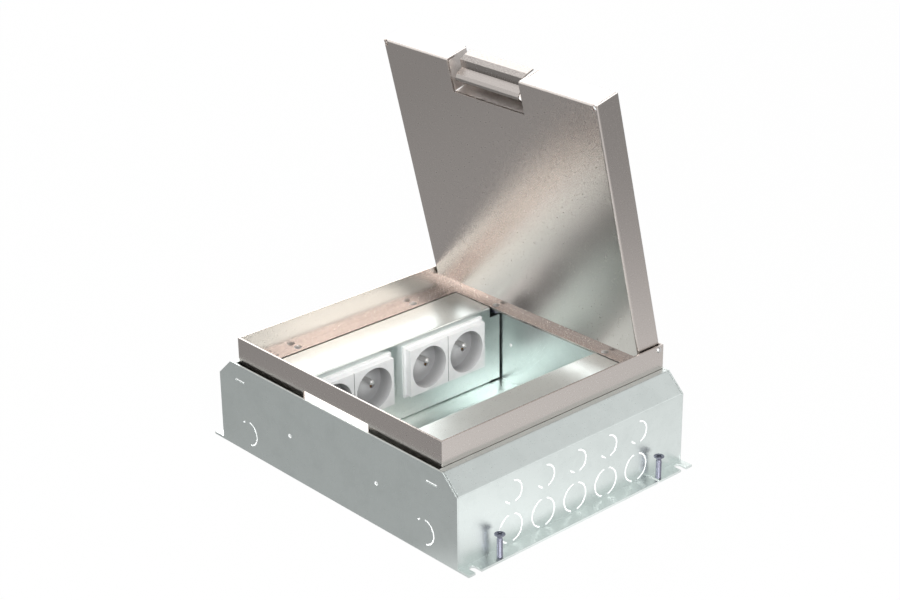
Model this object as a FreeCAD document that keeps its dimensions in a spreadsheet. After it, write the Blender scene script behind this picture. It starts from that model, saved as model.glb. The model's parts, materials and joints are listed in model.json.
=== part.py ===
"""Floor socket box: a galvanised box with a stainless rim, a hinged lid tray and two rows of sockets."""
import FreeCAD
import Part
import Sketcher
import math
import os
import re
import sys

# Driving sizes in millimetres and degrees. Origin: middle of the box's underside, +Z up, front at -Y.
SIZES = {
    # galvanised box, which stands round the rim with these gaps
    "rim_side_gap": 5.9,
    "rim_rear_gap": 1.8,
    "base_height": 81.5,
    "base_sheet": 1.5,
    "slope_run": 16.7,
    "slope_rise": 16.0,
    "slope_slit": 0.5,
    "slope_lip_gap": 0.4,
    "flange_width": 12.7,
    "flange_sheet": 2.0,
    "flange_notch_width": 6.6,
    "flange_notch_depth": 9.6,
    "flange_notch_inset": 10.4,
    "flange_slot_place": 88.3,
    "flange_slot_width": 2.4,
    # knock-outs and holes in the walls
    "knockout_pitch": 36.3,
    "knockout_low_radius": 12.6,
    "knockout_low_height": 16.2,
    "knockout_high_radius": 9.8,
    "knockout_high_height": 48.4,
    "knockout_high_shift": 2.4,
    "knockout_end_radius": 11.0,
    "knockout_end_place": 114.0,
    "knockout_end_height": 19.6,
    "knockout_slit": 1.5,
    "wall_hole_radius": 2.0,
    "wall_hole_place": 56.0,
    "wall_hole_height": 39.4,
    "wall_slot_place": 123.3,
    "wall_slot_length": 13.0,
    "wall_slot_width": 1.8,
    "wall_slot_height": 66.8,
    # stainless rim
    "rim_width": 260.0,
    "rim_depth": 253.0,
    "rim_shift": 1.7,
    "rim_top": 104.1,
    "rim_wall": 34.0,
    "rim_sheet": 1.5,
    "ledge_drop": 26.1,
    "ledge_side": 13.3,
    "ledge_end": 12.3,
    "ledge_sheet": 2.0,
    "ledge_hole_radius": 1.1,
    "ledge_hole_inset": 6.6,
    "ledge_hole_front": 90.1,
    "ledge_hole_rear": 94.5,
    "ledge_hole_pitch": 10.8,
    "window_width": 83.6,
    "window_drop": 18.2,
    # screws that set the rim's height
    "thread_radius": 2.45,
    "thread_clearance": 0.05,
    "height_screw_inset": 6.4,
    "height_screw_spacing": 135.0,
    "height_screw_length": 34.0,
    "dome_radius": 3.6,
    "dome_height": 1.3,
    "ring_radius": 4.4,
    "ring_height": 1.2,
    "bracket_width": 22.0,
    "bracket_sheet": 2.0,
    "bracket_top": 62.0,
    "bracket_leg": 20.0,
    "nut_flats": 8.0,
    "nut_height": 4.0,
    "ledge_screw_place": 68.6,
    "ledge_screw_inset": 6.2,
    "ledge_screw_length": 7.0,
    # levelling screws in the flanges
    "level_inset": 4.5,
    "level_spacing": 185.0,
    "level_top": 22.7,
    "level_head_radius": 4.5,
    "level_head_height": 2.6,
    # lid and its hinge
    "axis_inset": 5.2,
    "axis_drop": 3.5,
    "lid_open": 76.1,
    "lid_sheet": 2.0,
    "lid_side_gap": 1.5,
    "lid_front_gap": 0.5,
    "lid_rest_gap": 1.5,
    "lid_top_gap": 0.2,
    "lid_rear_gap": 3.0,
    "lid_bend_margin": 6.0,
    "lid_corner_gap": 0.4,
    "relief_radius": 2.4,
    "pin_radius": 2.0,
    "pin_head_radius": 2.7,
    "pin_head_height": 1.0,
    # cable outlet in the lid
    "outlet_width": 85.2,
    "outlet_shift": -3.0,
    "outlet_depth": 30.8,
    "outlet_wall": 1.5,
    "outlet_wall_height": 22.9,
    "outlet_slit": 0.8,
    "outlet_slit_start": 9.0,
    "guard_radius": 25.0,
    "guard_reach": 6.5,
    "guard_rise": 6.7,
    "flap_gap": 5.2,
    "flap_sheet": 1.2,
    "flap_lip_gap": 0.7,
    "flap_lean": 2.5,
    "flap_mid_height": 15.5,
    "flap_ledge_height": 9.6,
    "flap_ledge": 7.8,
    "flap_trough": 7.6,
    "flap_trough_place": 17.6,
    "flap_trough_height": 0.9,
    "flap_trough_rise": 2.2,
    "flap_back": 24.6,
    "flap_back_height": 11.2,
    "flap_ear": 7.6,
    "flap_pin_radius": 1.5,
    "flap_pivot_inset": 20.6,
    "flap_pivot_height": 19.2,
    # device carriers
    "carrier_sheet": 1.5,
    "carrier_left_face": 69.0,
    "carrier_right_face": 63.0,
    "carrier_edge_gap": 1.2,
    "carrier_front_gap": 1.8,
    "carrier_notch_height": 67.4,
    "carrier_lip": 9.0,
    "carrier_foot": 16.0,
    "carrier_end_gap": 2.0,
    # sockets
    "module": 45.0,
    "double_spacing": 109.4,
    "double_height": 48.2,
    "socket_front": 8.7,
    "holder_border": 2.4,
    "holder_sheet": 2.6,
    "window_border": 1.2,
    "cup_radius": 20.8,
    "recess_radius": 19.8,
    "recess_depth": 15.0,
    "cup_floor": 2.0,
    "groove_width": 0.6,
    "groove_depth": 0.8,
    "line_hole_radius": 2.75,
    "line_hole_spacing": 19.0,
    "line_hole_drop": 5.0,
    "earth_pin_radius": 2.4,
    "earth_pin_rise": 5.0,
    "earth_pin_inset": 3.4,
    "contact_wall": 0.8,
    "contact_length": 12.0,
    "housing_depth": 22.0,
    "housing_wall": 1.5,
    "wire_port_width": 30.0,
    "wire_port_height": 8.0,
    "foot_screw_radius": 1.9,
    "foot_head_radius": 3.6,
    "foot_head_height": 2.2,
    "foot_screw_place": 96.0,
}

doc = FreeCAD.newDocument("floor_socket_box")
sheet = doc.addObject("Spreadsheet::Sheet", "dims")
for row, (word, value) in enumerate(SIZES.items(), start=1):
    sheet.set(f"A{row}", word)
    sheet.set(f"B{row}", str(value))
    sheet.setAlias(f"B{row}", word)
doc.recompute()

FUNCTIONS = {"sqrt", "asin", "acos", "sin", "cos", "tan"}
NODES = []


def size(word):
    """The number that the sheet holds for a word."""
    return float(sheet.get(word))


def formula(words):
    """A formula over the aliases, in the sheet's own terms."""
    def prefix(match):
        word = match.group(0)
        return word if word in FUNCTIONS else "dims." + word
    return re.sub(r"[a-z][a-z_0-9]*", prefix, words)


def value(words):
    """The number that a formula gives now."""
    return float(sheet.evalExpression(formula(words)))


def bind(piece, prop, words):
    """Tie a property to the sheet; words is a formula over the aliases."""
    piece.setExpression(prop, formula(words))


def place(piece, x="0", y="0", z="0"):
    bind(piece, ".Placement.Base.x", x)
    bind(piece, ".Placement.Base.y", y)
    bind(piece, ".Placement.Base.z", z)
    return piece


def block(name, x, y, z):
    """A box between two bound planes along each axis."""
    piece = doc.addObject("Part::Box", name)
    bind(piece, "Length", f"({x[1]}) - ({x[0]})")
    bind(piece, "Width", f"({y[1]}) - ({y[0]})")
    bind(piece, "Height", f"({z[1]}) - ({z[0]})")
    return place(piece, x[0], y[0], z[0])


TURNS = {
    "x": FreeCAD.Rotation(FreeCAD.Vector(0, 1, 0), 90),
    "y": FreeCAD.Rotation(FreeCAD.Vector(1, 0, 0), -90),
    "z": FreeCAD.Rotation(),
}


def rod(name, along, radius, length, x="0", y="0", z="0"):
    """A cylinder that starts at a point and runs along +X, +Y or +Z."""
    piece = doc.addObject("Part::Cylinder", name)
    piece.Placement = FreeCAD.Placement(FreeCAD.Vector(), TURNS[along])
    bind(piece, "Radius", radius)
    bind(piece, "Height", length)
    return place(piece, x, y, z)


def taper(name, along, radius_start, radius_end, length, x="0", y="0", z="0"):
    """A cone between two radii that runs along +X, +Y or +Z."""
    piece = doc.addObject("Part::Cone", name)
    piece.Placement = FreeCAD.Placement(FreeCAD.Vector(), TURNS[along])
    bind(piece, "Radius1", radius_start)
    bind(piece, "Radius2", radius_end)
    bind(piece, "Height", length)
    return place(piece, x, y, z)


def dome(name, radius, height, x="0", y="0", z="0"):
    """A spherical cap that sits on the plane at z."""
    ball = f"(({radius}) * ({radius}) + ({height}) * ({height})) / (2 * ({height}))"
    piece = doc.addObject("Part::Sphere", name)
    bind(piece, "Radius", ball)
    bind(piece, "Angle1", f"asin(1 - ({height}) / ({ball}))")
    piece.Angle2 = 90
    return place(piece, x, y, f"({z}) - ({ball}) + ({height})")


def hexagon(name, flats, height, x="0", y="0", z="0"):
    piece = doc.addObject("Part::Prism", name)
    piece.Polygon = 6
    bind(piece, "Circumradius", f"({flats}) / sqrt(3)")
    bind(piece, "Height", height)
    return place(piece, x, y, z)


def join(name, pieces):
    piece = doc.addObject("Part::MultiFuse", name)
    piece.Shapes = pieces
    return piece


def group(name, pieces):
    """Separate solids that share one node."""
    piece = doc.addObject("Part::Compound", name)
    piece.Links = pieces
    return piece


def cut(name, solid, tools):
    """Take tools away from a solid."""
    piece = doc.addObject("Part::Cut", name)
    piece.Base = solid
    piece.Tool = tools[0] if len(tools) == 1 else join(name + "_tools", tools)
    return piece


def overlap(name, pieces):
    piece = doc.addObject("Part::MultiCommon", name)
    piece.Shapes = pieces
    return piece


def profile(name, plane, points, length, start):
    """A padded body: an outline on an origin plane, each corner bound to the sheet."""
    body = doc.addObject("PartDesign::Body", name)
    drawing = body.newObject("Sketcher::SketchObject", name + "_outline")
    base = next(item for item in body.Origin.OriginFeatures if item.Role == plane)
    drawing.AttachmentSupport = [(base, "")]
    drawing.MapMode = "FlatFace"
    count = len(points)
    turns = [2 * math.pi * i / count for i in range(count)]
    ring = [FreeCAD.Vector(100 * math.cos(turn), 100 * math.sin(turn), 0) for turn in turns]
    for i in range(count):
        drawing.addGeometry(Part.LineSegment(ring[i], ring[(i + 1) % count]), False)
    for i in range(count):
        drawing.addConstraint(Sketcher.Constraint("Coincident", i, 2, (i + 1) % count, 1))
    for i, (across, up) in enumerate(points):
        for kind, words in (("DistanceX", across), ("DistanceY", up)):
            number = drawing.addConstraint(Sketcher.Constraint(kind, -1, 1, i, 1, 50.0))
            bind(drawing, f"Constraints[{number}]", words)
    side = "-1" if plane == "XZ_Plane" else "1"
    bind(drawing, ".AttachmentOffset.Base.z", f"{side} * ({start})")
    pad = body.newObject("PartDesign::Pad", name + "_pad")
    pad.Profile = drawing
    bind(pad, "Length", length)
    pad.Reversed = plane == "XZ_Plane"
    drawing.Visibility = False
    return body


SKETCH_TURNS = {
    "x": FreeCAD.Rotation(0.5, 0.5, 0.5, 0.5),
    "y": FreeCAD.Rotation(FreeCAD.Vector(1, 0, 0), 90),
}


def folded(name, along, points, thickness, start, length):
    """A folded sheet: an open bend line, thickened to one side and drawn along +X or -Y."""
    line = doc.addObject("Sketcher::SketchObject", name + "_bends")
    line.Placement = FreeCAD.Placement(FreeCAD.Vector(), SKETCH_TURNS[along])
    for i in range(len(points) - 1):
        line.addGeometry(Part.LineSegment(FreeCAD.Vector(10 * i, 5 * (i % 2), 0),
                                          FreeCAD.Vector(10 * i + 10, 5 - 5 * (i % 2), 0)), False)
    for i in range(len(points) - 2):
        line.addConstraint(Sketcher.Constraint("Coincident", i, 2, i + 1, 1))
    for i, (across, up) in enumerate(points):
        edge, end = (i, 1) if i < len(points) - 1 else (i - 1, 2)
        for kind, words in (("DistanceX", across), ("DistanceY", up)):
            number = line.addConstraint(Sketcher.Constraint(kind, -1, 1, edge, end, 50.0))
            bind(line, f"Constraints[{number}]", words)
    bind(line, ".Placement.Base." + along, start)
    band = doc.addObject("Part::Offset2D", name + "_band")
    band.Source = line
    bind(band, "Value", thickness)
    band.Mode = "Skin"
    band.Fill = True
    piece = doc.addObject("Part::Extrusion", name)
    piece.Base = band
    piece.DirMode = "Custom"
    piece.Dir = FreeCAD.Vector(1, 0, 0) if along == "x" else FreeCAD.Vector(0, -1, 0)
    piece.Solid = True
    bind(piece, "LengthFwd", length)
    return piece


def ring_slits(name, axis, depth, slits):
    """Arc slits round knock-outs; each is centre, radius, first angle and sweep in degrees."""
    width = size("knockout_slit")
    tools = []
    for centre, radius, first, sweep in slits:
        disc = Part.makeCylinder(radius + width / 2, depth, FreeCAD.Vector(), FreeCAD.Vector(0, 0, 1), sweep)
        core = Part.makeCylinder(radius - width / 2, depth, FreeCAD.Vector(), FreeCAD.Vector(0, 0, 1), 360)
        slit = disc.cut(core)
        slit.rotate(FreeCAD.Vector(), FreeCAD.Vector(0, 0, 1), first)
        if axis == "x":
            slit.Placement = FreeCAD.Placement(centre, FreeCAD.Rotation(0.5, 0.5, 0.5, 0.5)) * slit.Placement
        else:
            turn = FreeCAD.Rotation(FreeCAD.Vector(1, 0, 0), 90)
            slit.Placement = FreeCAD.Placement(centre, turn) * slit.Placement
        tools.append(slit)
    piece = doc.addObject("Part::Feature", name)
    piece.Shape = Part.makeCompound(tools)
    return piece


def node(piece, label):
    """Mark an object as a finished sub-part."""
    piece.Label = label
    NODES.append(piece)
    return piece


# Planes that several pieces share
SLOPE_TOP_X = "rim_width / 2 + rim_side_gap"
SLOPE_FOOT = "base_height - slope_rise"
BASE_X = SLOPE_TOP_X + " + slope_run"
BASE_Y = "rim_depth / 2 + rim_shift + rim_rear_gap"
WALL_IN_X = BASE_X + " - base_sheet"
WALL_IN_Y = BASE_Y + " - base_sheet"
FLANGE_X = BASE_X + " + flange_width"
RIM_X = "rim_width / 2"
RIM_FRONT = "rim_shift - rim_depth / 2"
RIM_BACK = "rim_shift + rim_depth / 2"
LEDGE_Z = "rim_top - ledge_drop"
RIM_BOTTOM = "rim_top - rim_wall"
HEIGHT_X = "rim_width / 2 - height_screw_inset"
HEIGHT_PLACES = [(side, end) for side in ("-", "") for end in ("-", "+")]
LEVEL_X = FLANGE_X + " - level_inset"
BORE = "thread_radius + thread_clearance"


def bottom_plate():
    plate = block("bottom_sheet", ("-(" + WALL_IN_X + ")", WALL_IN_X), ("-(" + WALL_IN_Y + ")", WALL_IN_Y),
                  ("0", "base_sheet"))
    node(plate, "bottom_plate")


def end_wall(label, outer, side):
    """Front or rear wall: a plate with sloped shoulders, knock-outs, holes and slots."""
    corners = [("-(" + BASE_X + ")", "0"), (BASE_X, "0"), (BASE_X, SLOPE_FOOT), (SLOPE_TOP_X, "base_height"),
               ("-(" + SLOPE_TOP_X + ")", "base_height"), ("-(" + BASE_X + ")", SLOPE_FOOT)]
    plate = profile(label + "_plate", "XZ_Plane", corners, "base_sheet", outer)
    deep = 3 * size("base_sheet")
    middle = side * value(WALL_IN_Y + " + base_sheet / 2")
    slits = []
    for across in (-size("knockout_end_place"), size("knockout_end_place")):
        centre = FreeCAD.Vector(across, middle + deep / 2, size("knockout_end_height"))
        slits.append((centre, size("knockout_end_radius"), -80, 165))
        slits.append((centre, size("knockout_end_radius"), 118, 14))
    tools = [ring_slits(label + "_slits", "y", deep, slits)]
    for across in ("-wall_hole_place", "wall_hole_place"):
        tools.append(rod(label + "_hole", "y", "wall_hole_radius", "3 * base_sheet", across,
                         f"({outer}) - base_sheet", "wall_hole_height"))
    for across in ("-wall_slot_place", "wall_slot_place"):
        tools.append(block(label + "_slot",
                           (f"{across} - wall_slot_length / 2", f"{across} + wall_slot_length / 2"),
                           (f"({outer}) - base_sheet", f"({outer}) + 2 * base_sheet"),
                           ("wall_slot_height - wall_slot_width / 2",
                            "wall_slot_height + wall_slot_width / 2")))
    node(cut(label + "_cut", plate, tools), label)


def side_wall(label, side):
    """Side wall: foot flange, upright with two rows of knock-outs, slope and a lip that reaches the rim."""
    sign = "" if side > 0 else "-"
    slant = "sqrt(slope_run * slope_run + slope_rise * slope_rise)"
    under = "base_height - base_sheet"
    foot = f"{SLOPE_FOOT} - base_sheet * slope_run / ({slant} + slope_rise)"
    top = f"{SLOPE_TOP_X} - base_sheet * slope_rise / ({slant} + slope_run)"
    inner = [(f"{sign}({WALL_IN_X})", "0"), (f"{sign}({WALL_IN_X})", foot), (f"{sign}({top})", under),
             (f"{sign}({RIM_X} + slope_lip_gap)", under)]
    if side < 0:
        inner.reverse()
    wall = folded(label + "_bent", "y", inner, "-1 * base_sheet", WALL_IN_Y, f"2 * ({WALL_IN_Y})")
    tools = []
    for way in ("-", ""):
        first = f"{WALL_IN_Y} - slope_slit"
        span = (first, WALL_IN_Y + " + 1") if way == "" else (f"-({WALL_IN_Y}) - 1", f"-({first})")
        across = (f"{RIM_X} - 1", f"{BASE_X} + 1")
        if side < 0:
            across = (f"-({across[1]})", f"-({across[0]})")
        tools.append(block(label + "_end_slit", across, span, (SLOPE_FOOT, "base_height + 1")))
    low, high = (BASE_X, FLANGE_X) if side > 0 else (f"-({FLANGE_X})", f"-({BASE_X})")
    flange = block(label + "_flange", (low, high), (f"-({BASE_Y})", BASE_Y), ("0", "flange_sheet"))
    for end in ("-", ""):
        notch_y = f"{end}({BASE_Y} - flange_notch_inset)"
        tip = f"{sign}({FLANGE_X} - flange_notch_depth + flange_notch_width / 2)"
        tools.append(rod(label + "_notch_end", "z", "flange_notch_width / 2", "3 * flange_sheet", tip,
                         notch_y, "-flange_sheet"))
        span = (f"{FLANGE_X} - flange_notch_depth + flange_notch_width / 2", f"{FLANGE_X} + 1")
        if side < 0:
            span = (f"-({span[1]})", f"-({span[0]})")
        tools.append(block(label + "_notch", span, (f"{notch_y} - flange_notch_width / 2",
                                                    f"{notch_y} + flange_notch_width / 2"),
                           ("-flange_sheet", "2 * flange_sheet")))
        tools.append(rod(label + "_thread", "z", BORE, "3 * flange_sheet", f"{sign}({LEVEL_X})",
                         f"{end}level_spacing / 2", "-flange_sheet"))
    slot = (f"{BASE_X} + 0.4", f"{FLANGE_X} + 1")
    if side < 0:
        slot = (f"-({slot[1]})", f"-({slot[0]})")
    tools.append(block(label + "_slot", slot, ("flange_slot_place - flange_slot_width / 2",
                                               "flange_slot_place + flange_slot_width / 2"),
                       ("-flange_sheet", "2 * flange_sheet")))
    deep = 3 * size("base_sheet")
    middle = side * value(WALL_IN_X + " + base_sheet / 2")
    slits = []
    for step in range(-2, 3):
        along = step * size("knockout_pitch")
        low_centre = FreeCAD.Vector(middle - deep / 2, along, size("knockout_low_height"))
        slits.append((low_centre, size("knockout_low_radius"), -78, 150))
        slits.append((low_centre, size("knockout_low_radius"), 100, 150))
        high_centre = FreeCAD.Vector(middle - deep / 2, along + size("knockout_high_shift"),
                                     size("knockout_high_height"))
        slits.append((high_centre, size("knockout_high_radius"), -75, 160))
        slits.append((high_centre, size("knockout_high_radius"), 215, 35))
    tools.append(ring_slits(label + "_slits", "x", deep, slits))
    node(cut(label + "_cut", join(label + "_sheet", [wall, flange]), tools), label)


def rim():
    """Stainless rim: four walls round a flat ledge, with a window low in the front wall."""
    outer = block("rim_outer", (f"-({RIM_X})", RIM_X), (RIM_FRONT, RIM_BACK), (RIM_BOTTOM, "rim_top"))
    inside = ((f"-({RIM_X}) + rim_sheet", f"{RIM_X} - rim_sheet"),
              (f"{RIM_FRONT} + rim_sheet", f"{RIM_BACK} - rim_sheet"))
    above = block("rim_above", inside[0], inside[1], (LEDGE_Z, "rim_top + 1"))
    below = block("rim_below", inside[0], inside[1], (f"{RIM_BOTTOM} - 1", f"{LEDGE_Z} - ledge_sheet"))
    mouth = block("rim_mouth", (f"-({RIM_X}) + ledge_side", f"{RIM_X} - ledge_side"),
                  (f"{RIM_FRONT} + ledge_end", f"{RIM_BACK} - ledge_end"),
                  (f"{RIM_BOTTOM} - 1", "rim_top + 1"))
    window = block("rim_window", ("-window_width / 2", "window_width / 2"),
                   (f"{RIM_FRONT} - 1", f"{RIM_FRONT} + rim_sheet"), (LEDGE_Z, "rim_top - window_drop"))
    tools = [above, below, mouth, window]
    for sign, end in HEIGHT_PLACES:
        tools.append(rod("rim_bore", "z", BORE, "3 * ledge_sheet", f"{sign}({HEIGHT_X})",
                         f"rim_shift {end} height_screw_spacing / 2", f"{LEDGE_Z} - 2 * ledge_sheet"))
    for sign in ("-", ""):
        tools.append(rod("rim_back_bore", "z", BORE, "3 * ledge_sheet", f"{sign}ledge_screw_place",
                         f"{RIM_BACK} - ledge_screw_inset", f"{LEDGE_Z} - 2 * ledge_sheet"))
        for along in ("-ledge_hole_front", "ledge_hole_rear", "ledge_hole_rear + ledge_hole_pitch"):
            tools.append(rod("rim_small_hole", "z", "ledge_hole_radius", "3 * ledge_sheet",
                             f"{sign}({RIM_X} - ledge_hole_inset)", f"rim_shift + ({along})",
                             f"{LEDGE_Z} - 2 * ledge_sheet"))
    tools.append(rod("rim_pin_bore", "x", "pin_radius", "rim_width + 2", f"-({RIM_X}) - 1",
                     f"{RIM_BACK} - axis_inset", "rim_top - axis_drop"))
    node(cut("rim_cut", outer, tools), "rim_frame")


def rim_screws():
    """Domed height screws, held under the ledge by rings, and two short screws in the rear ledge."""
    screws = []
    rings = []
    for sign, end in HEIGHT_PLACES:
        x = f"{sign}({HEIGHT_X})"
        y = f"rim_shift {end} height_screw_spacing / 2"
        head = dome("height_head", "dome_radius", "dome_height", x, y, LEDGE_Z)
        shank = rod("height_shank", "z", "thread_radius", "height_screw_length", x, y,
                    f"{LEDGE_Z} - height_screw_length")
        screws.append(join("height_screw", [head, shank]))
        disc = rod("ring_disc", "z", "ring_radius", "ring_height", x, y,
                   f"{LEDGE_Z} - ledge_sheet - ring_height")
        hole = rod("ring_hole", "z", "thread_radius", "3 * ring_height", x, y,
                   f"{LEDGE_Z} - ledge_sheet - 2 * ring_height")
        rings.append(cut("ring", disc, [hole]))
    node(group("height_screw_set", screws), "height_screws")
    node(group("ring_set", rings), "height_screw_rings")
    short = []
    nuts = []
    for sign in ("-", ""):
        x = f"{sign}ledge_screw_place"
        y = f"{RIM_BACK} - ledge_screw_inset"
        head = dome("ledge_head", "dome_radius", "dome_height", x, y, LEDGE_Z)
        shank = rod("ledge_shank", "z", "thread_radius", "ledge_screw_length", x, y,
                    f"{LEDGE_Z} - ledge_screw_length")
        short.append(join("ledge_screw", [head, shank]))
        body = hexagon("ledge_nut_body", "nut_flats", "nut_height", x, y,
                       f"{LEDGE_Z} - ledge_sheet - nut_height")
        hole = rod("ledge_nut_hole", "z", "thread_radius", "3 * nut_height", x, y,
                   f"{LEDGE_Z} - ledge_sheet - 2 * nut_height")
        nuts.append(cut("ledge_nut", body, [hole]))
    node(group("ledge_screw_set", short), "rear_ledge_screws")
    node(group("ledge_nut_set", nuts), "rear_ledge_nuts")


def height_brackets():
    """Angle brackets on the side walls, each with a nut that takes a height screw."""
    brackets = []
    nuts = []
    for sign, end in HEIGHT_PLACES:
        y = f"rim_shift {end} height_screw_spacing / 2"
        inner = f"{HEIGHT_X} - nut_flats / 2 - 1.5"
        leg = (inner, WALL_IN_X)
        upright = (f"{WALL_IN_X} - bracket_sheet", WALL_IN_X)
        if sign == "-":
            leg = (f"-({WALL_IN_X})", f"-({inner})")
            upright = (f"-({WALL_IN_X})", f"-({WALL_IN_X}) + bracket_sheet")
        span = (f"{y} - bracket_width / 2", f"{y} + bracket_width / 2")
        shelf = block("bracket_shelf", leg, span, ("bracket_top - bracket_sheet", "bracket_top"))
        plate = block("bracket_plate", upright, span, ("bracket_top - bracket_leg", "bracket_top"))
        x = f"{sign}({HEIGHT_X})"
        hole = rod("bracket_hole", "z", "thread_radius + 0.4", "3 * bracket_sheet", x, y,
                   "bracket_top - 2 * bracket_sheet")
        brackets.append(cut("bracket", join("bracket_angle", [shelf, plate]), [hole]))
        body = hexagon("height_nut_body", "nut_flats", "nut_height", x, y,
                       "bracket_top - bracket_sheet - nut_height")
        bore = rod("height_nut_bore", "z", BORE, "3 * nut_height", x, y,
                   "bracket_top - bracket_sheet - 2 * nut_height")
        nuts.append(cut("height_nut", body, [bore]))
    node(group("bracket_set", brackets), "height_brackets")
    node(group("height_nut_set", nuts), "height_nuts")


def levelling_screws():
    """Countersunk screws in the flanges that carry the box at the right level."""
    for side, sign in (("left", "-"), ("right", "")):
        for end, way in (("front", "-"), ("rear", "")):
            x = f"{sign}({LEVEL_X})"
            y = f"{way}level_spacing / 2"
            head = taper("level_head", "z", "thread_radius", "level_head_radius", "level_head_height - 0.5",
                         x, y, "level_top - level_head_height")
            rim_disc = rod("level_rim", "z", "level_head_radius", "0.5", x, y, "level_top - 0.5")
            shank = rod("level_shank", "z", "thread_radius", "level_top - level_head_height", x, y)
            node(join("level_screw", [head, rim_disc, shank]), f"levelling_screw_{end}_{side}")


# The lid is drawn closed, from an origin on its hinge axis, and then turned open.
UNDER = "-(ledge_drop - axis_drop - lid_rest_gap)"
FREE = "rim_depth - axis_inset - rim_sheet - lid_front_gap"
LID_X = "rim_width / 2 - rim_sheet - lid_side_gap"
LID_TOP = "axis_drop - lid_top_gap"
OUTLET_LEFT = "outlet_shift - outlet_width / 2"
OUTLET_RIGHT = "outlet_shift + outlet_width / 2"


def open_with_lid(piece):
    """Turn a finished piece open about the hinge axis."""
    turn = FreeCAD.Rotation(FreeCAD.Vector(1, 0, 0), -size("lid_open"))
    piece.Placement = FreeCAD.Placement(FreeCAD.Vector(), turn)
    bind(piece, ".Placement.Rotation.Angle", "-1 * lid_open")
    return place(piece, "0", f"{RIM_BACK} - axis_inset", "rim_top - axis_drop")


def lid_pan():
    """Lid tray: one sheet with three upturned sides and an open rear, notched for the cable outlet."""
    inner = f"{LID_X} - lid_sheet"
    floor = f"{UNDER} + lid_sheet"
    front = f"-({FREE}) + lid_sheet"
    span = f"{inner} - lid_corner_gap"
    bends = [(f"-({inner})", "0"), (f"-({inner})", floor), (inner, floor), (inner, "0")]
    tray = folded("lid_tray", "y", bends, "-1 * lid_sheet", "0", FREE)
    room = block("lid_front_room", (f"-({span})", span), (f"-({FREE}) - 1", f"-({FREE}) + lid_bend_margin"),
                 (f"{UNDER} - 1", "axis_drop"))
    lip = [(f"{front} + lid_bend_margin", floor), (front, floor), (front, LID_TOP)]
    parts = [cut("lid_trimmed", tray, [room]),
             folded("lid_front", "x", lip, "-1 * lid_sheet", f"-({span})", f"2 * ({span})")]
    tools = [block("lid_rear_trim", (f"-({inner}) + 0.01", f"{inner} - 0.01"), ("-lid_rear_gap", "1"),
                   (f"{UNDER} - 1", "axis_drop"))]
    for side, sign in (("left", "-"), ("right", "")):
        wall = (inner, LID_X) if sign == "" else (f"-({LID_X})", f"-({inner})")
        parts.append(block("lid_side_" + side, wall, (f"-({FREE})", "0"),
                           (f"{UNDER} + 2 * lid_sheet", LID_TOP)))
        parts.append(rod("lid_ear_" + side, "x", LID_TOP, "lid_sheet", wall[0]))
        tools.append(rod("lid_relief_" + side, "z", "relief_radius", "2 * lid_sheet + 0.05",
                         f"{sign}({inner} + 0.8 - relief_radius)", f"-({FREE}) + 0.4 + relief_radius",
                         f"{UNDER} - lid_sheet"))
        end = ("outlet_shift - outlet_width / 2 - outlet_wall - outlet_slit", "outlet_shift")
        if sign == "":
            end = ("outlet_shift", "outlet_shift + outlet_width / 2 + outlet_wall + outlet_slit")
        tools.append(block("lid_slit_" + side, end, (f"-({FREE}) - 1", f"-({FREE}) + lid_sheet + 0.01"),
                           (f"{UNDER} + outlet_slit_start", "axis_drop")))
    tools.append(rod("lid_pin_bore", "x", "pin_radius + thread_clearance", "rim_width", f"-({RIM_X})"))
    tools.append(block("lid_outlet", (OUTLET_LEFT, OUTLET_RIGHT),
                       (f"-({FREE}) - 1", f"-({FREE}) + outlet_depth"), (f"{UNDER} - 1", "axis_drop")))
    node(open_with_lid(cut("lid_cut", join("lid_bent", parts), tools)), "lid_pan")


def guard_arc(name, radius):
    """A slice of a cylinder along X for the curved back of the outlet."""
    piece = doc.addObject("Part::Cylinder", name)
    piece.Placement = FreeCAD.Placement(FreeCAD.Vector(), FreeCAD.Rotation(FreeCAD.Vector(0, 1, 0), 90))
    bind(piece, "Radius", radius)
    bind(piece, "Height", "outlet_width")
    return place(piece, OUTLET_LEFT, f"-({FREE}) + guard_reach", f"{UNDER} + guard_rise")


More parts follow.
